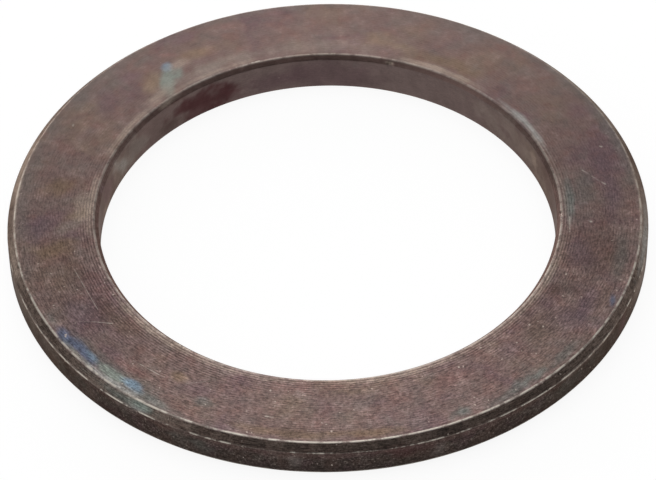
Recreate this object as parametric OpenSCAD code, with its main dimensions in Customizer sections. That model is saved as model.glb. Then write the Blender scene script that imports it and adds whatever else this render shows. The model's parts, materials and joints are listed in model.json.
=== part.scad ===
// Spacer washer: one flat ring turned from bar, chamfered on both outer edges
// and on one edge of its bore, with every machined corner lightly eased.
// The bore's chamfered end clears the fillet of a shaft shoulder.
// The origin is at the centre of the lower face, and +Z is the ring's axis.

/* [Ring] */
// Diameter of the rim
outer_d = 70; // [66:0.5:120]
// Diameter of the bore
bore_d = 50; // [16:0.5:58]
// Thickness from the lower face to the upper one
thickness = 4.5; // [3.5:0.1:12]

/* [Chamfers] */
// Leg of the 45 degree chamfer on the rim's upper and lower edges
rim_chamfer = 0.8; // [0.4:0.1:1.3]
// Leg of the 45 degree chamfer on the bore's upper edge
bore_chamfer = 0.5; // [0.3:0.1:1.3]

/* [Edges] */
// Radius that deburring leaves on each chamfered edge
edge_r = 0.25; // [0.1:0.05:0.4]
// Radius left on the bore's unchamfered lower edge
bore_edge_r = 0.05; // [0.02:0.01:0.4]

/* [Finish] */
// Colour of the oxidised steel
steel_colour = "#6e5d56"; // ["#6e5d56":Brown oxide, "#46444a":Black oxide, "#8e8d8b":Bare steel]

/* [Hidden] */
rim_r = outer_d / 2;
bore_r = bore_d / 2;
edge_steps = 4;   // flats along the arc of one eased edge
$fn = 240;

// One corner of the section: where its sides would meet, as [radius, height],
// and the radius that eases it
function corner(radius, height, ease) = [[radius, height], ease];

// The section's corners, from the lower end of the bore out and round to its upper end
section_corners = [
    corner(bore_r, 0, bore_edge_r),
    corner(rim_r - rim_chamfer, 0, edge_r),
    corner(rim_r, rim_chamfer, edge_r),
    corner(rim_r, thickness - rim_chamfer, edge_r),
    corner(rim_r - rim_chamfer, thickness, edge_r),
    corner(bore_r + bore_chamfer, thickness, edge_r),
    corner(bore_r, thickness - bore_chamfer, edge_r),
];

function unit(v) = v / norm(v);

// Points of the arc that is tangent to both sides of the corner at tip,
// from the side towards last to the side towards next
function eased(tip, last, next, ease) =
    let (
        a = unit(last - tip),
        b = unit(next - tip),
        half_angle = acos(a * b) / 2,
        centre = tip + unit(a + b) * ease / sin(half_angle),
        first = tip + a * ease / tan(half_angle) - centre,
        start = atan2(first.y, first.x),
        sweep = 180 - 2 * half_angle
    )
    [for (i = [0 : edge_steps])
        let (turn = start + sweep * i / edge_steps)
        centre + ease * [cos(turn), sin(turn)]];

// Closed outline of the section
function section_outline() =
    let (count = len(section_corners))
    [for (i = [0 : count - 1])
        let (
            tip = section_corners[i],
            last = section_corners[(i + count - 1) % count],
            next = section_corners[(i + 1) % count]
        )
        each eased(tip[0], last[0], next[0], tip[1])];

// The washer itself: its section turned once round the axis
module spacer_ring() {
    color(steel_colour)
        rotate_extrude()
            polygon(section_outline());
}

spacer_ring();
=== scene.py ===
"""A spacer washer: one ring of turned steel with a brown oxide film, on a pale studio floor.

The ring's section is drawn once, its corners are eased, its sides get their turning
marks, and it is spun round the axis. The knocks on its edges come last. All sizes are in
millimetres until they reach the mesh. Bearings count round the ring in degrees, from the
point nearest -Y and towards +X.
"""

import json
import logging
import math
import random
from dataclasses import dataclass, field
from enum import Enum
from typing import Any

import bmesh
import bpy
import numpy
from bpy.types import Node, NodeSocket, NodeTree
from mathutils import Matrix, Vector, noise


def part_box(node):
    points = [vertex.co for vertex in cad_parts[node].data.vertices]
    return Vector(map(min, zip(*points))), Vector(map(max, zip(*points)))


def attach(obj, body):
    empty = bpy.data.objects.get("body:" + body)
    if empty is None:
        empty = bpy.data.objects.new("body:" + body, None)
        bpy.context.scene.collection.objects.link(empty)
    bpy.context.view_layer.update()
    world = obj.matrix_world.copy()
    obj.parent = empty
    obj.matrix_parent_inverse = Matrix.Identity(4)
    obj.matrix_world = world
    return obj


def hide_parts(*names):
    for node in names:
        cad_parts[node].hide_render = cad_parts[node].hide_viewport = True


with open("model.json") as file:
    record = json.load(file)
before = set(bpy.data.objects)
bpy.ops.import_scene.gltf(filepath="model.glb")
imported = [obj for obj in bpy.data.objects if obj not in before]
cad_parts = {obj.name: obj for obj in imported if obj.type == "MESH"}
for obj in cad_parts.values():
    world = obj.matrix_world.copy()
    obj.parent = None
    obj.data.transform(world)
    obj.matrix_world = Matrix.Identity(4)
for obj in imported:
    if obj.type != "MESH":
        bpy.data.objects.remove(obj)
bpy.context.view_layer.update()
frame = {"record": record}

LOG = logging.getLogger("spacer_washer")
MM = 0.001
NODE = "spacer_ring"
WELD = 1e-4                 # vertices nearer than this become one
TINY = 1e-6                 # keeps rounding from losing a turning mark
NOISE_SPAN = (0.3, 0.7)     # nearly all of a noise's values lie between these
BARE_STEEL = "#d4ccc0"

# settings that many nodes share: a smooth step between values, and colours for the Mix node
SMOOTH = {"interpolation_type": "SMOOTHSTEP"}
COLOURS = {"data_type": "RGBA"}


def linear(hex_colour: str) -> tuple[float, float, float, float]:
    """Turns an sRGB hex colour into the linear one that shaders take.

    Args:
        hex_colour: The colour as "#rrggbb".

    Returns:
        Red, green, blue and an alpha of 1.
    """
    parts = [int(hex_colour[i:i + 2], 16) / 255 for i in (1, 3, 5)]
    low, high = 12.92, 1.055
    return (*(c / low if c <= 0.04045 else ((c + 0.055) / high) ** 2.4 for c in parts), 1.0)


def add_node(
    tree: NodeTree,
    kind: str,
    settings: dict[str, Any] | str | None = None,
    inputs: dict[int | str, Any] | None = None,
) -> Node:
    """Adds a node with its settings and its inputs.

    Args:
        tree: The node tree that gets it.
        kind: What follows ShaderNode in the node's type, such as "Math".
        settings: Property names and their values, or the name of its operation alone.
        inputs: For each input's name or number, a value, a hex colour, a socket, or a node whose
            first output is meant.

    Returns:
        The new node.
    """
    node = tree.nodes.new("ShaderNode" + kind)
    if isinstance(settings, str):
        settings = {"operation": settings}
    for name, value in (settings or {}).items():
        setattr(node, name, value)
    for key, value in (inputs or {}).items():
        if isinstance(value, str):
            value = linear(value)
        if isinstance(value, Node):
            value = value.outputs[0]
        if isinstance(value, NodeSocket):
            tree.links.new(value, node.inputs[key])
        else:
            node.inputs[key].default_value = value
    return node


def on_ring(bearing: float, radius: float, height: float) -> Vector:
    """The point at a bearing in degrees, a radius and a height."""
    turn = math.radians(bearing)
    return Vector((radius * math.sin(turn), -radius * math.cos(turn), height))


class Side(Enum):
    """The sides of the section, by the number of the corner that each starts from."""

    UNDERSIDE = 0
    LOWER_RIM_CHAMFER = 1
    RIM = 2
    UPPER_RIM_CHAMFER = 3
    UPPER_FACE = 4
    BORE_CHAMFER = 5
    BORE = 6


class Edge(Enum):
    """The ring's edges, by the number of the section's corner."""

    UNDERSIDE_BORE = 0
    UNDERSIDE_RIM = 1
    RIM_LOWER = 2
    RIM_UPPER = 3
    FACE_RIM = 4
    FACE_BORE = 5
    BORE_UPPER = 6


@dataclass(frozen=True)
class Cut:
    """How one side was machined."""

    feed: float         # spacing of the turning marks
    depth: float        # from the crests to the bottoms of the marks
    points: int = 4     # vertices across one mark


@dataclass(frozen=True)
class Knock:
    """A small dent in an edge."""

    edge: Edge
    bearing: float
    length: float       # along the edge
    depth: float


@dataclass
class Section:
    """The ring's section, in millimetres."""

    rim_radius: float
    bore_radius: float
    thickness: float
    rim_chamfer: float = 0.8
    bore_chamfer: float = 0.5
    edge_ease: float = 0.25         # radius that deburring leaves on chamfered edges
    bore_edge_ease: float = 0.05    # radius of the bore's plain lower edge
    ease_steps: int = 4

    def corners(self) -> list[Vector]:
        """Lists the corners before easing, outwards from the bore's lower end and round.

        Returns:
            Each corner as (radius, 0, height).
        """
        inner, outer, top = self.bore_radius, self.rim_radius, self.thickness
        return [
            Vector((inner, 0, 0)),
            Vector((outer - self.rim_chamfer, 0, 0)),
            Vector((outer, 0, self.rim_chamfer)),
            Vector((outer, 0, top - self.rim_chamfer)),
            Vector((outer - self.rim_chamfer, 0, top)),
            Vector((inner + self.bore_chamfer, 0, top)),
            Vector((inner, 0, top - self.bore_chamfer)),
        ]

    def middle(self) -> Vector:
        """The middle of the section, as (radius, 0, height)."""
        return Vector(((self.rim_radius + self.bore_radius) / 2, 0, self.thickness / 2))

    def ease(self, edge: Edge) -> float:
        """The radius that eases an edge."""
        return self.bore_edge_ease if edge is Edge.UNDERSIDE_BORE else self.edge_ease

    def draw(self, mesh: bmesh.types.BMesh) -> None:
        """Draws the eased outline as loose edges in the XZ plane.

        Args:
            mesh: The empty mesh that gets it.
        """
        tips = self.corners()
        face = mesh.faces.new([mesh.verts.new(tip) for tip in tips])
        drawn = list(face.verts)
        for edge, vertex in zip(Edge, drawn):
            last, tip, following = (tips[(edge.value + step) % len(tips)] for step in (-1, 0, 1))
            half_angle = (last - tip).angle(following - tip) / 2
            bmesh.ops.bevel(
                mesh,
                geom=[vertex],
                offset=self.ease(edge) / math.tan(half_angle),
                offset_type="OFFSET",
                segments=self.ease_steps,
                profile=0.5,
                affect="VERTICES",
                material=-1,
            )
        bmesh.ops.delete(mesh, geom=mesh.faces[:], context="FACES_ONLY")

    def side(self, mesh: bmesh.types.BMesh, side: Side) -> bmesh.types.BMEdge:
        """Finds the drawn edge that is one side of the section.

        Args:
            mesh: The outline.
            side: The side that is wanted.

        Returns:
            The edge nearest the middle of that side.
        """
        tips = self.corners()
        middle = (tips[side.value] + tips[(side.value + 1) % len(tips)]) / 2
        return min(
            mesh.edges,
            key=lambda edge: ((edge.verts[0].co + edge.verts[1].co) / 2 - middle).length,
        )


@dataclass
class SpacerRing:
    """The washer: its section, turned, marked and knocked about."""

    section: Section
    steps: int = 416
    cuts: dict[Side, Cut] = field(default_factory=lambda: {
        Side.UPPER_FACE: Cut(feed=0.30, depth=0.007),
        Side.UNDERSIDE: Cut(feed=0.90, depth=0.006, points=3),
        Side.RIM: Cut(feed=0.24, depth=0.003, points=2),
        Side.BORE: Cut(feed=0.40, depth=0.003, points=2),
        Side.UPPER_RIM_CHAMFER: Cut(feed=0.36, depth=0.002, points=2),
        Side.LOWER_RIM_CHAMFER: Cut(feed=0.36, depth=0.002, points=2),
        Side.BORE_CHAMFER: Cut(feed=0.25, depth=0.002, points=2),
    })
    knocks: tuple[Knock, ...] = (
        Knock(Edge.FACE_RIM, -76.2, 1.3, 0.10),
        Knock(Edge.FACE_RIM, -22.7, 1.5, 0.12),
        Knock(Edge.FACE_RIM, -57.0, 0.9, 0.06),
        Knock(Edge.FACE_RIM, 14.0, 0.8, 0.05),
        Knock(Edge.FACE_RIM, 52.0, 1.0, 0.07),
        Knock(Edge.FACE_RIM, 97.0, 1.1, 0.08),
        Knock(Edge.RIM_UPPER, -35.9, 1.6, 0.16),
        Knock(Edge.RIM_UPPER, -25.4, 1.2, 0.09),
        Knock(Edge.RIM_UPPER, 61.1, 1.2, 0.10),
        Knock(Edge.RIM_UPPER, 53.0, 1.3, 0.10),
        Knock(Edge.RIM_UPPER, 5.0, 1.0, 0.07),
        Knock(Edge.RIM_UPPER, 162.0, 1.6, 0.12),
        Knock(Edge.FACE_BORE, 87.3, 0.9, 0.12),
        Knock(Edge.FACE_BORE, -158.0, 0.8, 0.06),
        Knock(Edge.BORE_UPPER, 162.8, 1.0, 0.10),
        Knock(Edge.BORE_UPPER, -178.0, 0.8, 0.08),
        Knock(Edge.UNDERSIDE_RIM, 120.0, 1.4, 0.12),
        Knock(Edge.RIM_LOWER, -110.0, 1.5, 0.12),
    )
    seed: int = 7
    shallowest: float = 0.55        # a mark's least depth, as a share of its cut's
    wander: float = 0.012           # how far worn edges stray from a true circle
    ripples: tuple[tuple[float, float], ...] = ((0.9, 0.6), (2.7, 0.4))     # rate and share of each
    dent_reach: float = 0.75        # of the finer mesh round a dent, in lengths of the dent
    dent_cuts: int = 3
    dent_mesh: float = 0.3          # mesh edges no longer than this aren't cut
    dent_half: float = 0.45         # half of a dent, across its edge
    dent_rough: tuple[float, float] = (0.75, 0.5)   # mean and swing of its depth
    dent_grain: float = 6.0

    def mark(self, mesh: bmesh.types.BMesh, side: Side, cut: Cut, luck: random.Random) -> None:
        """Cuts the turning marks into one side of the outline.

        Args:
            mesh: The outline.
            side: The side that is cut.
            cut: How it was machined.
            luck: Where the small differences between marks come from.
        """
        edge = self.section.side(mesh, side)
        start, end = (v.co.copy() for v in edge.verts)
        along = end - start
        marks = max(1, round(along.length / cut.feed))
        made = bmesh.ops.subdivide_edges(mesh, edges=[edge], cuts=marks * cut.points - 1)
        inwards = Vector((-along.z, 0, along.x)).normalized()
        if inwards.dot(self.section.middle() - start) < 0:
            inwards.negate()
        depths = [cut.depth * luck.uniform(self.shallowest, 1.0) for _ in range(marks)]
        for vertex in (e for e in made["geom_inner"] if isinstance(e, bmesh.types.BMVert)):
            place = (vertex.co - start).length / along.length * marks
            in_mark = place - math.floor(place + TINY)
            scallop = 1 - (2 * in_mark - 1) ** 2
            vertex.co += inwards * scallop * depths[min(int(place + TINY), marks - 1)]

    def wear(self, mesh: bmesh.types.BMesh) -> None:
        """Lets the eased edges stray a little, always into the metal.

        Args:
            mesh: The turned ring.
        """
        middle, corners = self.section.middle(), self.section.corners()
        for vertex in mesh.verts:
            radius = math.hypot(vertex.co.x, vertex.co.y)
            place = Vector((radius, 0, vertex.co.z))
            gap = min((place - corner).length for corner in corners)
            near = max(0.0, 1 - gap / (2 * self.section.edge_ease))
            if near == 0:
                continue
            stray = sum(noise.noise(vertex.co * rate) * share for rate, share in self.ripples)
            inwards = (middle - place).normalized() * self.wander * near * (0.5 + 0.5 * stray)
            vertex.co += Vector((
                inwards.x * vertex.co.x / radius,
                inwards.x * vertex.co.y / radius,
                inwards.z,
            ))

    def knock(self, mesh: bmesh.types.BMesh, dent: Knock) -> None:
        """Dents an edge, on a finer patch of mesh.

        Args:
            mesh: The turned ring.
            dent: Where the dent is and how large.
        """
        corner = self.section.corners()[dent.edge.value]
        centre = on_ring(dent.bearing, corner.x, corner.z)
        middle = self.section.middle()
        inwards = (on_ring(dent.bearing, middle.x, middle.z) - centre).normalized()
        reach = dent.length * self.dent_reach
        near = [
            edge for edge in mesh.edges
            if ((edge.verts[0].co + edge.verts[1].co) / 2 - centre).length < reach
            and edge.calc_length() > self.dent_mesh
        ]
        bmesh.ops.subdivide_edges(mesh, edges=near, cuts=self.dent_cuts, use_grid_fill=True)
        round_way = Vector((0, 0, 1)).cross(centre).normalized()
        mean, swing = self.dent_rough
        for vertex in mesh.verts:
            away = vertex.co - centre
            if away.length > reach:
                continue
            beside = away.dot(round_way) / (dent.length / 2)
            across = (away - round_way * away.dot(round_way)).length / self.dent_half
            share = max(0.0, 1 - beside ** 2 - across ** 2)
            rough = mean + swing * noise.noise(vertex.co * self.dent_grain)
            vertex.co += inwards * dent.depth * share * rough

    def build(self) -> bpy.types.Object:
        """Models the ring.

        Returns:
            The ring's object, at the origin, in metres.
        """
        mesh = bmesh.new()
        self.section.draw(mesh)
        luck = random.Random(self.seed)
        for side, cut in self.cuts.items():
            self.mark(mesh, side, cut, luck)
        bmesh.ops.spin(
            mesh,
            geom=mesh.verts[:] + mesh.edges[:],
            cent=(0, 0, 0),
            axis=(0, 0, 1),
            dvec=(0, 0, 0),
            angle=math.tau,
            steps=self.steps,
            use_merge=True,
            use_duplicate=False,
        )
        bmesh.ops.remove_doubles(mesh, verts=mesh.verts[:], dist=WELD)
        self.wear(mesh)
        for dent in self.knocks:
            self.knock(mesh, dent)
        bmesh.ops.recalc_face_normals(mesh, faces=mesh.faces[:])
        bmesh.ops.scale(mesh, vec=(MM, MM, MM), verts=mesh.verts[:])
        for face in mesh.faces:
            face.smooth = True
        data = bpy.data.meshes.new("turned_ring")
        mesh.to_mesh(data)
        mesh.free()
        ring = bpy.data.objects.new("turned_ring", data)
        bpy.context.scene.collection.objects.link(ring)
        LOG.info("turned_ring: %d vertices, %d faces", len(data.vertices), len(data.polygons))
        return ring


class Film(Enum):
    """The few colours that the film's stains take, as its thickness and the soil on it change; some of
    them also paint light and shade.
    """

    SOOT_AND_SHADE = "#302a28"
    DARK_RED = "#482c2e"
    DARK_GREY = "#50504c"
    DARK_BROWN = "#504440"
    DARK_VIOLET = "#584448"
    UMBER = "#604c48"
    DULL_VIOLET = "#685860"
    DULL_BROWN = "#685850"
    DULL_GREY = "#686864"
    RED_BROWN = "#80605c"
    MAUVE = "#746064"
    OLIVE = "#7c6854"
    TEAL_GREY = "#707874"
    GREY_BROWN = "#746c68"
    BLUE = "#5c6880"
    LIGHT_BLUE = "#7c90a0"
    BLUE_GREY = "#889088"
    STRAW = "#907c68"
    PALE_BROWN = "#8c8078"
    PALE_GREY = "#a8a8a4"
    CREAM = "#a49488"


@dataclass(frozen=True)
class Tint:
    """A patch of another colour, drawn as a soft-edged oval: a stain in the oxide film, and in some rows
    painted light and shade.
    """

    bearing: float          # of its middle
    out: float              # of its middle, as the unrolled distance from the axis
    length: float           # half of it, round the ring
    width: float            # half of it, across the ring
    colour: Film
    strength: float
    tilt: float = 0.0       # how far it is turned, in degrees
    core: float = 0.15      # share of it that has its full strength
    ragged: float = 0.5


# The stains of the film, and the painted light and shade among them, in the order in which they lie over
# one another.
STAINS_AND_PAINTED_LIGHT = tuple(Tint(*row) for row in (
    # greyer towards the outer edge, except on the near side
    (-96, 33.6, 16, 1.5, Film.GREY_BROWN, 0.6),
    (-128, 33.9, 12, 1.4, Film.GREY_BROWN, 0.6),
    (-165, 34.2, 18, 1.2, Film.GREY_BROWN, 0.5),
    (150, 34.2, 18, 1.2, Film.GREY_BROWN, 0.55),
    (112, 33.9, 14, 1.4, Film.DULL_GREY, 0.55),
    # far left: a pale blue-grey wedge with a blue tip, in straw, under violet and red
    (-136.7, 28.8, 3.4, 1.6, Film.STRAW, 0.6, -37),
    (-150.7, 29.9, 3.6, 1.3, Film.STRAW, 0.55, 11),
    (-140.6, 28, 3.9, 1.2, Film.BLUE_GREY, 0.8, -47, 0.3),
    (-143.6, 28.1, 1.8, 1.2, Film.BLUE_GREY, 0.75, -52, 0.3),
    (-143, 29.8, 1.1, 0.9, Film.LIGHT_BLUE, 0.75, -63, 0.2),
    (-135, 26.7, 3, 0.9, Film.CREAM, 0.6),
    (-145.5, 29.4, 2.2, 1.2, Film.CREAM, 0.55),
    (-145.2, 31.4, 1.6, 0.6, Film.RED_BROWN, 0.6, 39),
    (-131.5, 32, 2.4, 1.4, Film.GREY_BROWN, 0.6, -10),
    (-139.7, 32.4, 2, 0.9, Film.GREY_BROWN, 0.6, -5),
    (-135.2, 31.3, 2, 1, Film.MAUVE, 0.55, 31),
    (-151.1, 32.9, 2.6, 1.2, Film.MAUVE, 0.55),
    (-159.9, 32.6, 1.8, 1, Film.RED_BROWN, 0.5, 8),
    (-123.9, 33.2, 2.6, 1.6, Film.GREY_BROWN, 0.5, -26),
    (-126.1, 30.3, 2.8, 1.8, Film.MAUVE, 0.55, -48),
    # the left: olive and orange, a green patch, then blue-grey at the edge
    (-98.4, 29.6, 3, 2, Film.OLIVE, 0.6, 65),
    (-89.7, 27.2, 2.2, 1.2, Film.STRAW, 0.6, 64),
    (-86, 28.5, 2.2, 1.2, Film.PALE_BROWN, 0.7, 59),
    (-85.2, 31.7, 2.6, 2, Film.DULL_VIOLET, 0.6, -4),
    (-79.4, 29.9, 3.4, 1.9, Film.OLIVE, 0.65, 78),
    (-65.9, 31.3, 2.3, 1.6, Film.DULL_BROWN, 0.6, -21),
    (-70.5, 29.2, 4, 2.8, Film.DULL_BROWN, 0.55),
    (-58.9, 28.1, 2.8, 1.9, Film.UMBER, 0.65, 16),
    (-51.8, 27.7, 4.5, 1.9, Film.DULL_BROWN, 0.7, -2),
    (-61.7, 33.5, 1.6, 0.8, Film.DULL_GREY, 0.6),
    # the blue patch at the outer edge, cream beyond it, with red inside it
    (-46, 32.7, 9, 1.7, Film.DULL_GREY, 0.6),
    (-47.9, 31.1, 2.6, 1, Film.MAUVE, 0.6),
    (-41.7, 31.3, 2.6, 1.1, Film.RED_BROWN, 0.7, -3, 0.1, 0.9),
    (-56.4, 33.6, 2.4, 0.95, Film.BLUE, 0.8, 4, 0.2),
    (-50.8, 33.2, 2.8, 0.95, Film.BLUE, 0.8, 5, 0.2),
    (-49.4, 32.9, 1.4, 0.6, Film.LIGHT_BLUE, 0.6, 5, 0.2),
    (-52, 33.9, 3.4, 0.35, Film.BLUE_GREY, 0.5),
    (-43.7, 33.1, 2.8, 1, Film.BLUE_GREY, 0.85, 4, 0.3),
    (-38.6, 33, 1.8, 0.9, Film.LIGHT_BLUE, 0.85, 8, 0.3),
    (-43, 34, 5.5, 0.5, Film.PALE_GREY, 0.65),
    (-38.7, 33.8, 2.2, 0.7, Film.PALE_GREY, 0.6),
    (-32.5, 33.6, 3.4, 1, Film.TEAL_GREY, 0.6, 6),
    (-34.9, 34.8, 2, 1, Film.BLUE_GREY, 0.8, 5),
    (-35.4, 35.5, 1.3, 0.45, Film.PALE_GREY, 0.8),
    (-37.5, 36, 2.4, 0.7, Film.DARK_GREY, 0.6),
    # the near side: mauve, with olive, teal and rusty spots
    (-32.5, 29.2, 1.6, 1.1, Film.OLIVE, 0.65),
    (-26.8, 29.9, 3, 1.7, Film.MAUVE, 0.6),
    (-25.4, 30.9, 1.7, 1.1, Film.TEAL_GREY, 0.45, 7, 0, 1.2),
    (-8, 33.2, 8, 0.9, Film.OLIVE, 0.55, 2),
    (6.5, 33.2, 6, 0.9, Film.OLIVE, 0.6, 3),
    (25.7, 28.6, 3.8, 1.7, Film.RED_BROWN, 0.5),
    (24.7, 33.1, 2.2, 1, Film.TEAL_GREY, 0.6, -3, 0, 1.2),
    (32.5, 33.6, 3, 0.8, Film.DULL_GREY, 0.6, -2),
    (40.4, 33.2, 3.2, 1.2, Film.TEAL_GREY, 0.75, -6, 0, 1),
    (47, 33.3, 3.2, 0.9, Film.DULL_GREY, 0.65, -4),
    (40.4, 28.6, 2.6, 1.8, Film.MAUVE, 0.55, -19),
    (51.3, 28.9, 4, 2.7, Film.DULL_BROWN, 0.65, -5),
    # the right: purple and dull grey-green, with a blue spot at the edge
    (62.4, 27.3, 1.2, 0.8, Film.UMBER, 0.65, -18),
    (62, 31.4, 3.6, 1.6, Film.DULL_VIOLET, 0.6),
    (63.9, 33.5, 1.3, 0.45, Film.BLUE, 0.75, -25),
    (74.2, 28.5, 3.6, 2.2, Film.DULL_VIOLET, 0.65, -10),
    (76, 32.4, 5, 1.2, Film.DULL_GREY, 0.65, -5),
    (92.4, 31.3, 4, 1.8, Film.DULL_VIOLET, 0.6, 7),
    (95.7, 28.3, 5.5, 1.9, Film.DULL_GREY, 0.5, 9),
    (91.8, 26.5, 6, 0.8, Film.TEAL_GREY, 0.6, 2),
    (102.9, 31.5, 3.4, 2.2, Film.DULL_VIOLET, 0.45, 15),
    (119.2, 32.3, 3.8, 2.2, Film.MAUVE, 0.55, 10),
    # far right: straw towards the bore
    (166.7, 28.1, 5, 1.8, Film.STRAW, 0.5, 0, 0, 0.8),
    (150, 27.4, 7, 1.4, Film.OLIVE, 0.5),
    (149.5, 33, 2.4, 1.4, Film.GREY_BROWN, 0.5, 21),
    # a paler band along the bore's edge, partly wear and partly painted sheen where the face turns down to
    # the bore, and straw inside it on the far side
    (-30, 25.95, 18, 0.45, Film.CREAM, 0.45),
    (-52, 26, 9, 0.55, Film.CREAM, 0.55),
    (20, 25.95, 14, 0.45, Film.CREAM, 0.5),
    (62, 25.95, 12, 0.45, Film.CREAM, 0.5),
    (98, 25.95, 9, 0.45, Film.PALE_BROWN, 0.45),
    (120, 26, 8, 0.6, Film.PALE_GREY, 0.75),
    (148, 26, 9, 0.6, Film.CREAM, 0.75),
    (-150, 26, 9, 0.55, Film.CREAM, 0.55),
    (-122, 26, 9, 0.6, Film.CREAM, 0.6),
    (-95, 26, 8, 0.6, Film.CREAM, 0.6),
    (180, 27, 12, 1.5, Film.PALE_BROWN, 0.45),
    (-152, 27, 8, 1.4, Film.PALE_BROWN, 0.75),
    (-92, 26.9, 5, 1.4, Film.CREAM, 0.5),
    # darker stretches of the face, to both sides and on the near side
    (-60, 30.5, 5, 3, Film.DULL_VIOLET, 0.5),
    (-73.5, 32.2, 2.8, 1.3, Film.DULL_BROWN, 0.5),
    (63.5, 28.3, 3.2, 1.9, Film.DARK_BROWN, 0.5),
    (64, 32.3, 3.2, 1.6, Film.DULL_BROWN, 0.45),
    (-6.5, 32.6, 2.6, 1.8, Film.DULL_BROWN, 0.4),
    (76, 30, 8, 4, Film.UMBER, 0.5),
    (56, 30.5, 3.5, 3, Film.DULL_VIOLET, 0.45),
    # the rim's chamfer, with painted sheen that makes it paler where it turns away to the right and the
    # left
    (88, 35, 9, 1.3, Film.PALE_BROWN, 0.55),
    (82, 35.3, 7, 1, Film.PALE_GREY, 0.55),
    (-78, 35, 4.5, 0.9, Film.CREAM, 0.6),
    (120, 35, 12, 1.3, Film.PALE_BROWN, 0.5),
    (-38, 35, 6, 1, Film.TEAL_GREY, 0.45),
    # the rim: painted shade along its lower end and painted light along its upper end, paler to both sides
    # painted shade along the rim's lower end, and painted light along its upper end
    (0, 38.6, 60, 1.6, Film.SOOT_AND_SHADE, 0.55),
    (0, 36, 60, 0.9, Film.UMBER, 0.4),
    (-68, 36.6, 9, 1.3, Film.PALE_BROWN, 0.35),
    (-58, 37.2, 14, 2, Film.DARK_GREY, 0.5),
    (52, 37.2, 12, 2, Film.DARK_GREY, 0.5),
    # the bore: paler to both sides, darker between them, and a dull stretch of its edge
    (105, 21.3, 4, 1, Film.PALE_BROWN, 0.5),
    (-102, 21.3, 4, 1.2, Film.CREAM, 0.55),
    (-135, 21.5, 5, 1.4, Film.DARK_BROWN, 0.55),
    (-167, 22, 7, 2.4, Film.DARK_VIOLET, 0.5),
    (180, 25.5, 6, 0.35, Film.DULL_BROWN, 0.6),
    # dark and violet streaks down the rim where it turns away, and a paler stretch
    (-67, 37.4, 1, 1.9, Film.SOOT_AND_SHADE, 0.65),
    (-62, 37, 0.9, 1.6, Film.SOOT_AND_SHADE, 0.6),
    (-57, 37.6, 1.3, 1.4, Film.DARK_BROWN, 0.6),
    (-52, 37.2, 0.9, 1.6, Film.SOOT_AND_SHADE, 0.6),
    (-46, 37.4, 1.1, 1.5, Film.DARK_BROWN, 0.55),
    (50, 37.3, 1, 1.5, Film.SOOT_AND_SHADE, 0.55),
    (57, 37.5, 1.2, 1.4, Film.SOOT_AND_SHADE, 0.55),
    (63, 37.3, 1.1, 1.6, Film.DARK_VIOLET, 0.65),
    (74, 36.8, 5, 1.6, Film.PALE_BROWN, 0.6),
    # paler along both edges of the rim's chamfer and on the chamfer to the left: painted highlight and
    # sheen, partly wear
    (-58, 35.8, 11, 0.3, Film.PALE_BROWN, 0.9),
    (52, 35.8, 9, 0.3, Film.PALE_BROWN, 0.8),
    (-92, 34.25, 12, 0.45, Film.CREAM, 0.5),
    (92, 34.25, 12, 0.45, Film.CREAM, 0.5),
    # painted sheen on the rim's chamfer to the left
    (-104, 35, 8, 1.3, Film.CREAM, 0.65),
    # pale marks on the near part of the rim, between darker ones
    (-6, 37.2, 0.8, 1.3, Film.GREY_BROWN, 0.4, 0, 0, 1.6),
    (5, 37, 0.8, 1.6, Film.GREY_BROWN, 0.45, 0, 0, 1.6),
    (18.6, 37.2, 0.8, 1.5, Film.GREY_BROWN, 0.45, 0, 0, 1.6),
    (-24, 37, 2.4, 1.6, Film.DARK_GREY, 0.55, 0, 0, 1),
    (12, 36.6, 5, 1.2, Film.DARK_RED, 0.5, 0, 0, 1),
    # the bore's chamfer: a chip, and a darker stretch on the right
    (163, 24.9, 0.9, 0.45, Film.CREAM, 0.85, 0, 0.3, 0.2),
    (172, 23.8, 0.6, 0.7, Film.GREY_BROWN, 0.5),
    (101, 25, 7, 0.7, Film.DARK_BROWN, 0.6),
    # the bore: dark red on its far wall, olive above it, and paler towards the left
    (120, 22.6, 12, 3, Film.PALE_BROWN, 0.42, 0, 0.3, 0.8),
    (180, 22.4, 10, 2.8, Film.DARK_VIOLET, 0.5, 0, 0.3, 0.4),
    (-112, 22.6, 9, 3, Film.PALE_BROWN, 0.55, 0, 0.3, 0.8),
    (-147, 22, 7.5, 2.8, Film.DARK_RED, 0.75, 4, 0.3, 0.9),
    (-140, 22.7, 3, 1.2, Film.DARK_RED, 0.75, 9, 0.2, 1),
    (-149, 22, 4.4, 2.2, Film.DARK_RED, 0.75, 9, 0.2, 1),
    (-154.5, 23, 2.4, 1.1, Film.DARK_RED, 0.75, 13, 0.2, 1),
    (-114, 22.6, 3, 1.5, Film.PALE_GREY, 0.45, 30, 0.1, 1.2),
    (-108, 22.2, 1.6, 0.6, Film.DARK_BROWN, 0.6, 60, 0.1, 1.2),
    (-102, 23, 1.2, 1.8, Film.DARK_VIOLET, 0.45, 0, 0.1, 1.2),
    (112, 22.8, 1.2, 0.8, Film.CREAM, 0.6, 30, 0.1, 1.5),
    (116, 22.2, 1.6, 0.7, Film.PALE_BROWN, 0.5, 30, 0.1, 1.5),
    (127, 22.4, 2, 0.7, Film.DARK_VIOLET, 0.45, 20, 0.1, 1.5),
    (-136, 25, 2.6, 0.55, Film.CREAM, 0.85),
    (-137.6, 24.6, 2, 0.7, Film.UMBER, 0.7, -3),
    (-120.1, 23, 4.5, 1.6, Film.GREY_BROWN, 0.6, 20, 0.3, 0.8),
    (-104, 22.6, 4, 2, Film.MAUVE, 0.6, 30, 0.3, 0.8),
))


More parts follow.
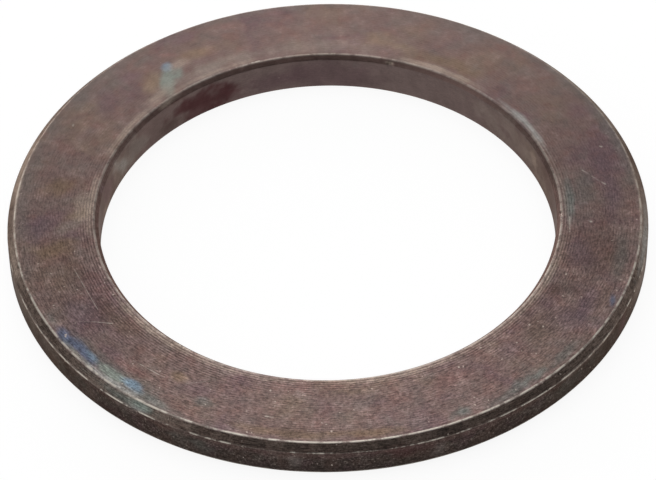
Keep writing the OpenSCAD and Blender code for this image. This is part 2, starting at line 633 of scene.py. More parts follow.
@dataclass(frozen=True)
class Scratch:
    """A straight scratch on the upper face, from one place to another."""

    start: tuple[float, float]      # bearing and radius
    end: tuple[float, float]
    width: float
    strength: float
    colour: str = BARE_STEEL
    in_full: float = 0.5        # share of the width that shows at full strength
    fades: float = 1.5          # where it is gone, in widths


@dataclass(frozen=True)
class Specks:
    """Small spots, one at most in each cell of about a given size."""

    cell: float
    largest: float          # radius of the largest spot
    bare: float             # share of the cells that have none
    colour: str
    strength: float


@dataclass(frozen=True)
class RubAndHighlight:
    """An edge that was rubbed back to steel, with gaps where the film held, and a painted highlight: it is
    lighter on the near side, where the edges catch the light.
    """

    edge: Edge
    reach: float
    strength: float
    least: float = 0.3      # share of the strength in the gaps
    gaps: float = 0.40      # the mottle below which there is a gap
    gap_fade: float = 0.14
    in_full: float = 0.2    # share of the reach that shows at full strength
    far: float = 0.4        # share of the strength on the far side, so that the near side gets the painted highlight
    colour: str = BARE_STEEL


@dataclass(frozen=True)
class Texture:
    """How a noise is spread over the ring."""

    patch: float            # about the size of its patches
    detail: float
    roughness: float
    distortion: float = 0.0
    shift: tuple[float, float, float] | None = None     # takes it elsewhere in the noise


class Noise(Enum):
    """The noises that several of the finish's layers share."""

    BLOTCH = Texture(7.0, 3.0, 0.55, 0.5)
    CLUSTER = Texture(3.2, 3.0, 0.6, 0.3)
    HUE = Texture(2.4, 3.0, 0.6, shift=(40.0, 90.0, 20.0))
    MOTTLE = Texture(1.4, 4.0, 0.65)
    GRAIN = Texture(0.26, 2.0, 0.8)
    STREAK = Texture(1.0, 3.0, 0.6)     # drawn out round the ring, as fine turning marks


@dataclass(frozen=True)
class Drift:
    """A second colour that shows where a noise lies past a value."""

    noise: Noise
    start: float
    full: float
    colour: str
    strength: float


@dataclass(frozen=True)
class Swing:
    """How far a noise darkens and lightens the film, on the far side and on the near side."""

    noise: Noise
    far: float
    near: float


@dataclass
class Ground:
    """What the finish knows of a point on the ring, as sockets of its node tree."""

    tree: NodeTree
    place: NodeSocket         # in millimetres
    heading: NodeSocket       # unit vector away from the axis
    height: NodeSocket
    section_place: NodeSocket     # (radius, 0, height)
    out: NodeSocket           # distance from the axis, unrolled over the edges
    faces: NodeSocket         # 1 on the two faces
    outside: NodeSocket       # 1 on the outer half
    near_side: NodeSocket     # 1 towards -Y, 0 towards +Y
    noises: dict[Noise, NodeSocket]


@dataclass(frozen=True)
class OxidisedTurnedSteel:
    """Turned steel with a thin brown oxide film.

    The film is a few hundred nanometres of iron oxide. It tints the metal's own reflection brown,
    with violet, blue and straw patches where heat or oil made it thicker or thinner. The tool's
    marks stretch each highlight across them, and the colour also carries painted light and shade:
    on the tool's marks, along the edges, on the rim and in some patches. Edges that were handled
    are rubbed back to grey steel.
    """

    section: Section
    film: str = "#7a6763"
    drifts: tuple[Drift, ...] = (
        Drift(Noise.BLOTCH, 0.50, 0.72, "#7f6d62", 0.80),
        Drift(Noise.BLOTCH, 0.50, 0.30, "#725d60", 0.85),
        Drift(Noise.HUE, 0.50, 0.68, "#716a66", 0.36),
        Drift(Noise.HUE, 0.50, 0.32, "#80605a", 0.36),
    )
    bloom: Drift = Drift(Noise.MOTTLE, 0.50, 0.72, "#988680", 0.60)     # pale, and in clusters
    bloom_clusters: tuple[float, float] = (0.42, 0.64)
    rim_chamfers: str = "#75675f"
    bore_chamfer: str = "#6e5a55"
    # the rim, darker than the faces: its own darker film with painted shade on top, for the light it
    # doesn't catch
    rim: str = "#433a37"
    bore: str = "#6b5c59"
    rim_scale: tuple[Drift, ...] = (        # between the rim's chamfers only
        Drift(Noise.BLOTCH, 0.50, 0.66, "#44443a", 0.45),
        Drift(Noise.HUE, 0.50, 0.36, "#4f3c40", 0.45),
        Drift(Noise.MOTTLE, 0.50, 0.34, "#6b625d", 0.35),
        Drift(Noise.GRAIN, 0.48, 0.34, "#1f1c1b", 0.60),
        Drift(Noise.GRAIN, 0.54, 0.70, "#857b74", 0.50),
    )
    soil: tuple[Drift, ...] = (
        Drift(Noise.CLUSTER, 0.46, 0.64, "#2d2826", 0.50),
        Drift(Noise.MOTTLE, 0.46, 0.64, "#2d2826", 0.38),
        Drift(Noise.HUE, 0.46, 0.64, "#4f3d37", 0.30),
        Drift(Noise.GRAIN, 0.48, 0.34, "#2d2826", 0.25),
    )
    swings: tuple[Swing, ...] = (
        Swing(Noise.STREAK, 0.12, 0.46),
        Swing(Noise.GRAIN, 0.07, 0.32),
        Swing(Noise.MOTTLE, 0.11, 0.13),
        Swing(Noise.CLUSTER, 0.07, 0.07),
    )
    face_fade: tuple[float, float] = (0.20, 0.04)   # depths at which a face's film begins and is full
    near_fade: tuple[float, float] = (0.7, -0.5)    # the same for the near side, on Y in mean radii
    rim_fade: float = 0.12          # half of the change from the rim to its chamfers
    bore_fade: float = 0.10
    metallic: float = 0.85
    roughness: tuple[float, float] = (0.35, 0.47)
    anisotropy: float = 0.65
    edge_tint: str = "#b3a49b"      # the film keeps its colour where the eye grazes it
    stains_and_light: tuple[Tint, ...] = STAINS_AND_PAINTED_LIGHT
    scratches: tuple[Scratch, ...] = (
        Scratch((-58.8, 31.4), (-56.6, 29.8), 0.07, 0.35),
        Scratch((-56.6, 29.8), (-54.0, 28.4), 0.09, 0.55),
        Scratch((-12.6, 31.15), (-11.2, 31.15), 0.16, 0.70),
        Scratch((-23.0, 34.25), (-22.1, 34.20), 0.18, 0.85),
        Scratch((-73, 28.65), (-59.4, 28.6), 0.07, 0.45),
        Scratch((96, 30.7), (101, 28.7), 0.16, 0.40),
        Scratch((-43, 30.25), (-35.5, 30.15), 0.08, 0.45),
        Scratch((-30.5, 29.7), (-26.3, 28.2), 0.07, 0.25),
        Scratch((81, 26.5), (86, 26.4), 0.14, 0.50),
        Scratch((84.8, 28.7), (85.1, 28.6), 0.24, 0.70),
        Scratch((48.2, 33.5), (48.6, 33.5), 0.22, 0.75),
        Scratch((-163.0, 25.62), (-160.5, 25.58), 0.13, 0.75),
        Scratch((106.8, 31.9), (107.0, 31.8), 0.20, 0.60),
        Scratch((-116.9, 31.8), (-116.5, 31.7), 0.20, 0.60),
    )
    specks: tuple[Specks, ...] = (
        Specks(0.48, 0.15, 0.55, "#c4b6ab", 0.75),
        Specks(0.60, 0.15, 0.62, "#41352f", 0.60),
        Specks(2.6, 0.24, 0.50, "#c9bdb2", 0.70),
        Specks(3.3, 0.24, 0.60, "#3a2c26", 0.70),
    )
    # rubbed edges: partly wear, partly a painted highlight that is strongest on the near side
    rubs_and_highlights: tuple[RubAndHighlight, ...] = (
        RubAndHighlight(Edge.FACE_RIM, 0.18, 1.0, least=0.25, gaps=0.42, far=0.15),
        RubAndHighlight(Edge.RIM_UPPER, 0.15, 0.85, least=0.08, gaps=0.47),
        RubAndHighlight(Edge.FACE_BORE, 0.24, 0.45, far=0.6),
        RubAndHighlight(Edge.RIM_LOWER, 0.20, 0.35),
        RubAndHighlight(Edge.UNDERSIDE_RIM, 0.30, 0.55),
        RubAndHighlight(Edge.UNDERSIDE_BORE, 0.15, 0.30),
    )
    scratch_gaps: tuple[float, float] = (0.40, 0.56)    # the mottle at which a scratch begins and is full
    scratch_least: float = 0.15     # share of a scratch's strength in its gaps
    speck_crowds: tuple[float, float] = (0.42, 0.60)
    speck_alone: float = 0.30       # size of a speck outside the crowds
    speck_sizes: tuple[float, float] = (-0.4, 2.4)      # how raggedness shrinks and grows them
    speck_edge: float = 0.5         # how far a speck's edge fades, in its radii
    stain_edges: tuple[tuple[float, float], ...] = ((2.0, 0.6), (0.6, 0.3))     # patch and share of each
    streaks_round: float = 46.0     # a streak is a millimetre long, or less
    streak_width: float = 0.16
    face_pits: float = 0.004 * MM
    bore_pits: float = 0.006 * MM
    rim_pits: float = 0.020 * MM
    feed: float = 0.30
    crisp_bearing: float = -48.0    # where the painted shading of the turning marks is strongest
    crisp_spread: float = 0.75      # cosine of how far round from there that holds
    crisp_reach: tuple[float, float] = (2.2, 4.6)   # how far they reach from the bore, elsewhere and there
    crisp_full: float = 0.8         # distance from the bore within which they are strongest
    crisp_gain: float = 2.8
    marks_kept: tuple[float, float] = (0.86, 1.14)      # where, elsewhere, two noises let them show
    marks_shade: tuple[float, float] = (0.02, 0.15)     # how strong their painted light and shade is, where faint and where kept
    far_share: float = 0.35         # the far side has fewer specks and less bloom
    stain_and_light_layer: str = "film_stains_and_light"

    def survey(self, tree: NodeTree) -> Ground:
        """Works out where a point is on the ring, and the noises that several layers share.

        Args:
            tree: The material's node tree.

        Returns:
            The sockets that say so.
        """
        top, mean_radius = self.section.thickness, self.section.middle().x
        shallow, deep = self.face_fade
        far, near = self.near_fade
        place = add_node(tree, "TexCoord").outputs["Object"]
        place = add_node(tree, "VectorMath", "SCALE", {0: place, "Scale": 1 / MM})
        parts = add_node(tree, "SeparateXYZ", None, {0: place}).outputs
        flat = add_node(tree, "VectorMath", "MULTIPLY", {0: place, 1: (1, 1, 0)})
        radius = add_node(tree, "VectorMath", "LENGTH", {0: flat}).outputs["Value"]
        heading = add_node(tree, "VectorMath", "NORMALIZE", {0: flat})
        drop = add_node(tree, "Math", "SUBTRACT", {0: top, 1: parts[2]})
        outside = add_node(tree, "Math", "GREATER_THAN", {0: radius, 1: mean_radius})
        way = add_node(tree, "Math", "MULTIPLY_ADD", {0: outside, 1: 2.0, 2: -1.0})
        out = add_node(tree, "Math", "MULTIPLY_ADD", {0: drop, 1: way, 2: radius})
        to_face = add_node(tree, "Math", "SUBTRACT", {0: top / 2, 1: drop})
        to_face = add_node(tree, "Math", "ABSOLUTE", {0: to_face})
        faces = add_node(tree, "MapRange", SMOOTH, {0: to_face, 1: top / 2 - shallow, 2: top / 2 - deep})
        near_side = add_node(
            tree, "MapRange", SMOOTH, {0: parts[1], 1: mean_radius * far, 2: mean_radius * near})
        section_place = add_node(tree, "CombineXYZ", None, {0: radius, 2: parts[2]})
        return Ground(
            tree=tree,
            place=place.outputs[0],
            heading=heading.outputs[0],
            height=parts[2],
            section_place=section_place.outputs[0],
            out=out.outputs[0],
            faces=faces.outputs[0],
            outside=outside.outputs[0],
            near_side=near_side.outputs[0],
            noises=self.noises(tree, place, self.swept(tree, heading, out)),
        )

    def swept(self, tree: NodeTree, heading: Node, out: Node) -> Node:
        """Finds the place at which fine turning marks read their noise.

        Args:
            tree: The material's node tree.
            heading: Gives the unit vector away from the axis.
            out: Gives the distance from the axis, unrolled.

        Returns:
            The node that gives the place.
        """
        around = add_node(tree, "VectorMath", "SCALE", {0: heading, "Scale": self.streaks_round})
        across = add_node(tree, "Math", "MULTIPLY", {0: out, 1: 1 / self.streak_width})
        across = add_node(tree, "CombineXYZ", None, {2: across})
        return add_node(tree, "VectorMath", "ADD", {0: around, 1: across})

    def noises(self, tree: NodeTree, place: Node, swept: Node) -> dict[Noise, NodeSocket]:
        """Makes each noise once.

        Args:
            tree: The material's node tree.
            place: Gives the point in millimetres.
            swept: Gives the place that the streaks use instead.

        Returns:
            Each noise's value, from 0 to 1.
        """
        made = {}
        for noise_kind in Noise:
            texture = noise_kind.value
            where = swept if noise_kind is Noise.STREAK else place
            if texture.shift:
                where = add_node(tree, "VectorMath", "ADD", {0: where, 1: texture.shift})
            made[noise_kind] = add_node(tree, "TexNoise", None, {
                "Vector": where,
                "Scale": 1 / texture.patch,
                "Detail": texture.detail,
                "Roughness": texture.roughness,
                "Distortion": texture.distortion,
            }).outputs[0]
        return made

    def drifted(
        self, ground: Ground, colour: NodeSocket | str, drifts: tuple[Drift, ...]
    ) -> NodeSocket:
        """Lets other colours show through one, each where its noise is strong.

        Args:
            ground: Where a point is.
            colour: The colour so far, a socket or a hex value.
            drifts: The other colours.

        Returns:
            The mixed colour.
        """
        tree = ground.tree
        for drift in drifts:
            amount = add_node(
                tree, "MapRange", SMOOTH,
                {0: ground.noises[drift.noise], 1: drift.start, 2: drift.full, 4: drift.strength})
            colour = add_node(tree, "Mix", COLOURS, {0: amount, 6: colour, 7: drift.colour}).outputs[2]
        return colour

    def face_colour(self, ground: Ground) -> NodeSocket:
        """Colours the faces: brown, drifting to olive and to mauve, with a pale bloom in clusters.

        Args:
            ground: Where a point is.

        Returns:
            The film's colour on the faces.
        """
        tree, bloom = ground.tree, self.bloom
        colour = self.drifted(ground, self.film, self.drifts)
        amount = add_node(
            tree, "MapRange", SMOOTH,
            {0: ground.noises[bloom.noise], 1: bloom.start, 2: bloom.full, 4: bloom.strength})
        most = add_node(tree, "MapRange", None, {0: ground.near_side, 3: self.far_share, 4: 1.0})
        low, high = self.bloom_clusters
        cluster = add_node(
            tree, "MapRange", SMOOTH, {0: ground.noises[Noise.CLUSTER], 1: low, 2: high, 4: most})
        amount = add_node(tree, "Math", "MULTIPLY", {0: amount, 1: cluster})
        return add_node(tree, "Mix", COLOURS, {0: amount, 6: colour, 7: bloom.colour}).outputs[2]

    def side_colour(self, ground: Ground) -> NodeSocket:
        """Colours the rim, the bore and their chamfers: darker than the faces, the rim partly as painted
        shade, and soiled outside.

        Args:
            ground: Where a point is.

        Returns:
            The film's colour off the faces.
        """
        tree, corners = ground.tree, self.section.corners()
        middle = self.section.thickness / 2
        from_middle = add_node(tree, "Math", "SUBTRACT", {0: ground.height, 1: middle})
        from_middle = add_node(tree, "Math", "ABSOLUTE", {0: from_middle})
        end = corners[Edge.RIM_UPPER.value].z - middle
        amount = add_node(
            tree, "MapRange", SMOOTH, {0: from_middle, 1: end + self.rim_fade, 2: end - self.rim_fade})
        # the rim's dark colour is partly painted shade
        rim = self.drifted(ground, self.rim, self.rim_scale)
        rim = add_node(tree, "Mix", COLOURS, {0: amount, 6: self.rim_chamfers, 7: rim}).outputs[2]
        rim = self.drifted(ground, rim, self.soil)
        end = corners[Edge.BORE_UPPER.value].z
        amount = add_node(
            tree, "MapRange", SMOOTH, {0: ground.height, 1: end + self.bore_fade, 2: end - self.bore_fade})
        bore = add_node(tree, "Mix", COLOURS, {0: amount, 6: self.bore_chamfer, 7: self.bore}).outputs[2]
        return add_node(tree, "Mix", COLOURS, {0: ground.outside, 6: bore, 7: rim}).outputs[2]

    def stain_and_light(self, data: bpy.types.Mesh) -> None:
        """Works the patches, painted light and shade among them, out at each vertex, as a colour attribute
        that the material reads.

        The attribute holds the patches' own colour, already scaled by how much of it there is,
        and that share as its alpha.

        Args:
            data: The ring's mesh, in metres.
        """
        places = numpy.empty(len(data.vertices) * 3)
        data.vertices.foreach_get("co", places)
        places = places.reshape(-1, 3) / MM
        radius = numpy.hypot(places[:, 0], places[:, 1])
        bearing = numpy.degrees(numpy.arctan2(places[:, 0], -places[:, 1]))
        middle = self.section.middle().x
        way = numpy.where(radius > middle, 1.0, -1.0)
        out = radius + way * (self.section.thickness - places[:, 2])
        rough = numpy.array([
            sum(share * noise.noise(Vector(place) / patch) for patch, share in self.stain_edges)
            for place in places
        ])
        stains_and_light = numpy.zeros((len(places), 4))
        for tint in self.stains_and_light:
            aside = numpy.radians((bearing - tint.bearing + 180) % 360 - 180) * middle
            across = out - tint.out
            tilt = math.radians(tint.tilt)
            along = (aside * math.cos(tilt) + across * math.sin(tilt)) / tint.length
            beside = (across * math.cos(tilt) - aside * math.sin(tilt)) / tint.width
            away = numpy.hypot(along, beside) + tint.ragged * rough
            share = numpy.clip((1 - away) / (1 - tint.core), 0, 1)
            share = (share * share * (3 - 2 * share) * tint.strength)[:, None]
            stains_and_light = stains_and_light * (1 - share) + numpy.array(linear(tint.colour.value)) * share
        layer = data.color_attributes.new(name=self.stain_and_light_layer, type="FLOAT_COLOR", domain="POINT")
        layer.data.foreach_set("color", stains_and_light.ravel())

    def stained_and_lit(self, ground: Ground, colour: NodeSocket) -> NodeSocket:
        """Lays the mesh's patches, with their painted light and shade, over the film.

        Args:
            ground: Where a point is.
            colour: The film so far.

        Returns:
            The film with its patches.
        """
        tree = ground.tree
        stains_and_light = add_node(tree, "Attribute", {"attribute_name": self.stain_and_light_layer}).outputs
        rest = add_node(tree, "Math", "SUBTRACT", {0: 1.0, 1: stains_and_light["Alpha"]})
        film = add_node(tree, "VectorMath", "SCALE", {0: colour, "Scale": rest})
        return add_node(tree, "VectorMath", "ADD", {0: film, 1: stains_and_light["Color"]}).outputs[0]

    def painted_mark_shading(self, ground: Ground) -> NodeSocket:
        """Paints light and shade into the tool's marks: painted highlight on the crests and painted shade
        in the bottoms, fainter in places and on the far side.

        Args:
            ground: Where a point is.

        Returns:
            How much the painted light and shade scales the film, about 1.
        """
        tree = ground.tree
        turn = add_node(tree, "Math", "MULTIPLY", {0: ground.out, 1: 1 / self.feed})
        turn = add_node(tree, "Math", "PINGPONG", {0: turn, 1: 0.5})
        # painted highlight on the crests, painted shade in the bottoms
        crest = add_node(tree, "MapRange", None, {0: turn, 1: 0.0, 2: 0.5, 3: -1.0, 4: 1.0})
        inner = self.section.corners()[Edge.FACE_BORE.value].x
        leftwards = add_node(
            tree, "VectorMath", "DOT_PRODUCT",
            {0: ground.heading, 1: on_ring(self.crisp_bearing, 1.0, 0.0)}).outputs["Value"]
        least, most = self.crisp_reach
        widest = add_node(
            tree, "MapRange", SMOOTH,
            {0: leftwards, 1: self.crisp_spread, 2: 1.0, 3: inner + least, 4: inner + most})
        by_bore = add_node(
            tree, "MapRange", SMOOTH,
            {0: ground.out, 1: widest, 2: inner + self.crisp_full, 4: self.crisp_gain})
        kept = add_node(
            tree, "Math", "ADD", {0: ground.noises[Noise.CLUSTER], 1: ground.noises[Noise.MOTTLE]})
        start, full = self.marks_kept
        kept = add_node(tree, "MapRange", SMOOTH, {0: kept, 1: start, 2: full})
        kept = add_node(tree, "Math", "MAXIMUM", {0: kept, 1: by_bore})
        kept = add_node(tree, "Math", "MULTIPLY", {0: kept, 1: ground.near_side})
        worn, fresh = self.marks_shade
        depth = add_node(tree, "MapRange", {"clamp": False}, {0: kept, 3: worn, 4: fresh})
        return add_node(tree, "Math", "MULTIPLY_ADD", {0: crest, 1: depth, 2: 1.0}).outputs[0]

    def shaded(self, ground: Ground, colour: NodeSocket) -> NodeSocket:
        """Darkens and lightens the film by the painted light and shade of its turning marks and by its
        noises, most on the near side.

        Args:
            ground: Where a point is.
            colour: The film so far.

        Returns:
            The shaded film.
        """
        tree = ground.tree
        low, high = NOISE_SPAN
        shade = self.painted_mark_shading(ground)
        for swing in self.swings:
            reach = add_node(tree, "MapRange", None, {0: ground.near_side, 3: swing.far, 4: swing.near})
            change = add_node(
                tree, "MapRange", {"clamp": False},
                {0: ground.noises[swing.noise], 1: low, 2: high, 3: -1.0, 4: 1.0})
            change = add_node(tree, "Math", "MULTIPLY_ADD", {0: change, 1: reach, 2: 1.0})
            shade = add_node(tree, "Math", "MULTIPLY", {0: shade, 1: change})
        return add_node(tree, "VectorMath", "SCALE", {0: colour, "Scale": shade}).outputs[0]

    def speckled(self, ground: Ground, specks: Specks) -> Node:
        """Strews spots of one sort.

        Args:
            ground: Where a point is.
            specks: The spots.

        Returns:
            The node that gives how far they cover the film.
        """
        tree = ground.tree
        cell = add_node(tree, "TexVoronoi", None, {"Vector": ground.place, "Scale": 1 / specks.cell})
        chance = add_node(tree, "SeparateColor", None, {0: cell.outputs["Color"]})
        size = add_node(
            tree, "MapRange", None,
            {0: chance, 1: specks.bare, 2: 1.0, 4: specks.largest / specks.cell})
        start, full = self.speck_crowds
        crowd = add_node(tree, "MapRange", None, {0: ground.near_side, 3: self.far_share, 4: 1.0})
        crowd = add_node(
            tree, "MapRange", SMOOTH,
            {0: ground.noises[Noise.CLUSTER], 1: start, 2: full, 3: self.speck_alone, 4: crowd})
        size = add_node(tree, "Math", "MULTIPLY", {0: size, 1: crowd})
        least, most = self.speck_sizes
        ragged = add_node(
            tree, "MapRange", {"clamp": False}, {0: ground.noises[Noise.GRAIN], 3: least, 4: most})
        size = add_node(tree, "Math", "MULTIPLY", {0: size, 1: ragged})
        inside = add_node(tree, "Math", "SUBTRACT", {0: size, 1: cell})
        return add_node(
            tree, "MapRange", SMOOTH,
            {0: inside, 2: self.speck_edge * specks.largest / specks.cell, 4: specks.strength})

    def scratched(self, ground: Ground, scratch: Scratch) -> Node:
        """Draws one scratch.

        Args:
            ground: Where a point is.
            scratch: The scratch.

        Returns:
            The node that gives how far it covers the film.
        """
        tree = ground.tree
        start = on_ring(*scratch.start, self.section.thickness)
        run = on_ring(*scratch.end, self.section.thickness) - start
        away = add_node(tree, "VectorMath", "SUBTRACT", {0: ground.place, 1: start})
        share = add_node(
            tree, "VectorMath", "DOT_PRODUCT",
            {0: away, 1: run / run.length_squared}).outputs["Value"]
        share = add_node(tree, "Clamp", None, {0: share})
        foot = add_node(tree, "VectorMath", "SCALE", {0: run, "Scale": share})
        gap = add_node(tree, "VectorMath", "DISTANCE", {0: away, 1: foot}).outputs["Value"]
        gap = add_node(
            tree, "Math", "MULTIPLY_ADD", {0: ground.noises[Noise.GRAIN], 1: scratch.width, 2: gap})
        start, full = self.scratch_gaps
        least, most = self.scratch_least * scratch.strength, scratch.strength
        patchy = add_node(
            tree, "MapRange", SMOOTH,
            {0: ground.noises[Noise.MOTTLE], 1: start, 2: full, 3: least, 4: most})
        return add_node(
            tree, "MapRange", SMOOTH,
            {0: gap, 1: scratch.width * scratch.fades, 2: scratch.width * scratch.in_full, 4: patchy})

    def rubbed_and_lit(self, ground: Ground, rub_and_highlight: RubAndHighlight) -> Node:
        """Rubs one edge back towards steel, with a painted highlight that is strongest on the near side.

        Args:
            ground: Where a point is.
            rub_and_highlight: The edge.

        Returns:
            The node that gives how far steel and the painted highlight show.
        """
        tree = ground.tree
        corner = self.section.corners()[rub_and_highlight.edge.value]
        gap = add_node(
            tree, "VectorMath", "DISTANCE", {0: ground.section_place, 1: corner}).outputs["Value"]
        amount = add_node(
            tree, "MapRange", SMOOTH,
            {0: gap, 1: rub_and_highlight.reach, 2: rub_and_highlight.reach * rub_and_highlight.in_full, 4: rub_and_highlight.strength})
        # painted highlight: the edge is lightest on the near side
        most = add_node(tree, "MapRange", None, {0: ground.near_side, 3: rub_and_highlight.far, 4: 1.0})
        gaps_end = rub_and_highlight.gaps + rub_and_highlight.gap_fade
        patchy = add_node(
            tree, "MapRange", SMOOTH,
            {0: ground.noises[Noise.MOTTLE], 1: rub_and_highlight.gaps, 2: gaps_end, 3: rub_and_highlight.least, 4: 1.0})
        amount = add_node(tree, "Math", "MULTIPLY", {0: amount, 1: patchy})
        return add_node(tree, "Math", "MULTIPLY", {0: amount, 1: most})

    def build(self) -> bpy.types.Material:
        """Makes the material.

        Returns:
            The material, with its whole node tree.
        """
        material = bpy.data.materials.new("oxidised_turned_steel")
        material.use_nodes = True
        tree = material.node_tree
        tree.nodes.clear()
        ground = self.survey(tree)
        colour = add_node(
            tree, "Mix", COLOURS,
            {0: ground.faces, 6: self.side_colour(ground), 7: self.face_colour(ground)}).outputs[2]
        colour = self.stained_and_lit(ground, colour)
        colour = self.shaded(ground, colour)
        for cover, layers in (
            (self.speckled, self.specks),
            (self.scratched, self.scratches),
            (self.rubbed_and_lit, self.rubs_and_highlights),
        ):
            for layer in layers:
                amount = cover(ground, layer)
                colour = add_node(tree, "Mix", COLOURS, {0: amount, 6: colour, 7: layer.colour}).outputs[2]
        low, high = NOISE_SPAN
        least, most = self.roughness
        rough = add_node(
            tree, "MapRange", None,
            {0: ground.noises[Noise.STREAK], 1: low, 2: high, 3: least, 4: most})
        height = add_node(
            tree, "Math", "ADD", {0: ground.noises[Noise.STREAK], 1: ground.noises[Noise.GRAIN]})
        depth = add_node(
            tree, "MapRange", None, {0: ground.outside, 3: self.bore_pits, 4: self.rim_pits})
        depth = add_node(tree, "MapRange", None, {0: ground.faces, 3: depth, 4: self.face_pits})
        bump = add_node(tree, "Bump", None, {"Height": height, "Distance": depth})
        round_way = add_node(tree, "VectorMath", "CROSS_PRODUCT", {0: (0, 0, 1), 1: ground.heading})
        steel = add_node(
            tree, "BsdfPrincipled", None,
            {
                "Base Color": colour,
                "Metallic": self.metallic,
                "Roughness": rough,
                "Anisotropic": self.anisotropy,
                "Anisotropic Rotation": 0.25,       # a quarter turn, so highlights cross the marks
                "Specular Tint": linear(self.edge_tint),
                "Tangent": round_way,
                "Normal": bump,
            })
        add_node(tree, "OutputMaterial", None, {"Surface": steel})
        return material


@dataclass(frozen=True)
class Glow:
    """A soft patch of light on the room's walls or ceiling."""

    heading: float      # of its middle, in degrees from +Y towards +X
    lift: float         # of its middle, in degrees above the horizon
    sharpness: float    # 14 is a patch some forty degrees wide
    strength: float     # in its middle


@dataclass(frozen=True)
class MattWhitePaper:
    """A matt white paper.

    It has no shine at all: to the eye it is one even white, with a soft and pale shadow.
    """

    colour: str = "#eeeeee"
    level: float = 0.56         # how light the room alone makes it
    glow: float = 0.84          # the share of its white that a shadow can't reach

    def build(self) -> bpy.types.Material:
        """Makes the material.

        Returns:
            The material, with its whole node tree.
        """
        material = bpy.data.materials.new("matt_white_paper")
        material.use_nodes = True
        tree = material.node_tree
        tree.nodes.clear()
        paper = add_node(tree, "BsdfDiffuse", None, {"Color": linear(self.colour)})
        rays = add_node(tree, "LightPath").outputs
        seen = add_node(tree, "Math", "ADD", {0: rays["Is Camera Ray"], 1: rays["Is Glossy Ray"]})
        seen = add_node(
            tree, "Math", {"operation": "ADD", "use_clamp": True},
            {0: seen, 1: rays["Is Transmission Ray"]})
        share = add_node(tree, "Math", "MULTIPLY", {0: seen, 1: self.glow})
        to_white = (1 - (1 - self.glow) * self.level) / self.glow
        glow = add_node(tree, "Emission", None, {"Color": (1, 1, 1, 1), "Strength": to_white})
        sheet = add_node(tree, "MixShader", None, {0: share, 1: paper, 2: glow})
        add_node(tree, "OutputMaterial", None, {"Surface": sheet})
        return material


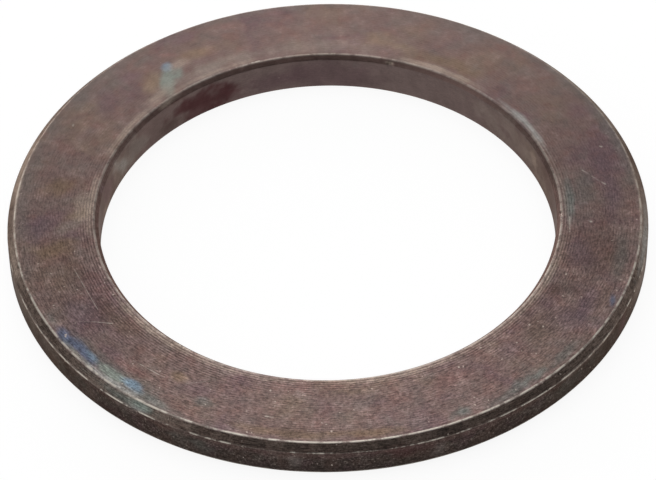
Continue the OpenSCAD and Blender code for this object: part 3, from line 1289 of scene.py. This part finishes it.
@dataclass
class Studio:
    """The pale floor, the lit room round it and the camera."""

    floor_half: float = 2.0         # in metres
    paper: MattWhitePaper = MattWhitePaper()
    room: float = 0.02              # the rest of the room is dark
    glows: tuple[Glow, ...] = (
        Glow(0, 5, 14, 4.4),
        Glow(-30, 5, 14, 2.0),
        Glow(60, 5, 14, 0.9),
        Glow(-60, 5, 14, 0.4),
        Glow(-120, 5, 14, 1.2),
        Glow(-108, 30, 14, 0.7),
        Glow(108, 30, 14, 0.24),
        Glow(0, 80, 10, 2.3),
    )
    lens_pixels: float = 3580.0     # focal length, in widths of a pixel
    frame_width: int = 656
    sensor: float = 36.0
    distance: float = 394.0
    elevation: float = 44.71
    roll: float = 1.046
    aside: float = 0.007            # how far the camera looks past the ring's middle
    above: float = 0.13
    clip_start: float = 10.0

    def floor(self) -> None:
        """Lays the floor just under the ring."""
        mesh = bmesh.new()
        bmesh.ops.create_grid(mesh, x_segments=1, y_segments=1, size=self.floor_half)
        data = bpy.data.meshes.new("studio_floor")
        mesh.to_mesh(data)
        mesh.free()
        floor = bpy.data.objects.new("studio_floor", data)
        bpy.context.scene.collection.objects.link(floor)
        data.materials.append(self.paper.build())

    def sky_light(self) -> None:
        """Lights everything from the room: from overhead, and from a pale backdrop beyond the ring."""
        world = bpy.data.worlds.new("studio")
        world.use_nodes = True
        tree = world.node_tree
        tree.nodes.clear()
        way = add_node(tree, "TexCoord").outputs["Generated"]
        strength: Node | float = self.room
        for glow in self.glows:
            turn, lift = math.radians(glow.heading), math.radians(glow.lift)
            middle = (math.sin(turn) * math.cos(lift), math.cos(turn) * math.cos(lift), math.sin(lift))
            near = add_node(tree, "VectorMath", "DOT_PRODUCT", {0: way, 1: middle})
            fall = add_node(
                tree, "Math", "MULTIPLY_ADD",
                {0: near.outputs["Value"], 1: glow.sharpness, 2: -glow.sharpness})
            fall = add_node(tree, "Math", "EXPONENT", {0: fall})
            strength = add_node(tree, "Math", "MULTIPLY_ADD", {0: fall, 1: glow.strength, 2: strength})
        light = add_node(tree, "Background", None, {"Color": (1, 1, 1, 1), "Strength": strength})
        add_node(tree, "OutputWorld", None, {"Surface": light})
        bpy.context.scene.world = world

    def camera(self) -> None:
        """Stands the camera where the ring is seen from."""
        lift, roll = math.radians(self.elevation), math.radians(self.roll)
        back = Vector((0, -math.cos(lift), math.sin(lift)))
        level_up = Vector((0, math.sin(lift), math.cos(lift)))
        right = Vector((1, 0, 0)) * math.cos(roll) - level_up * math.sin(roll)
        up = Vector((1, 0, 0)) * math.sin(roll) + level_up * math.cos(roll)
        place = (back * self.distance - right * self.aside - up * self.above) * MM
        lens = bpy.data.cameras.new("camera")
        lens.sensor_width = self.sensor
        lens.lens = self.lens_pixels / self.frame_width * self.sensor
        lens.clip_start = self.clip_start * MM
        camera = bpy.data.objects.new("camera", lens)
        camera.matrix_world = Matrix.Translation(place) @ Matrix((right, up, back)).transposed().to_4x4()
        bpy.context.scene.collection.objects.link(camera)
        bpy.context.scene.camera = camera

    def build(self) -> None:
        """Sets the whole studio up."""
        self.floor()
        self.sky_light()
        self.camera()
        bpy.context.scene.view_settings.view_transform = "Standard"


def cad_section() -> Section:
    """Takes the ring's main sizes from the frame.

    Returns:
        The section, in millimetres.
    """
    low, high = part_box(NODE)
    bore = next(mount for mount in frame["record"]["mounts"] if mount["name"] == "bore")
    return Section(
        rim_radius=min(high.x, -low.x, high.y, -low.y) / MM,
        bore_radius=bore["dims"]["r_mm"],
        thickness=(high.z - low.z) / MM,
    )


def main() -> None:
    """Builds the ring, its finish and the studio."""
    logging.basicConfig(level=logging.INFO, format="%(name)s: %(message)s")
    section = cad_section()
    ring = SpacerRing(section).build()
    finish = OxidisedTurnedSteel(section)
    finish.stain_and_light(ring.data)
    ring.data.materials.append(finish.build())
    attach(ring, "root")
    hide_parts(NODE)
    Studio().build()


if __name__ == "__main__":
    main()
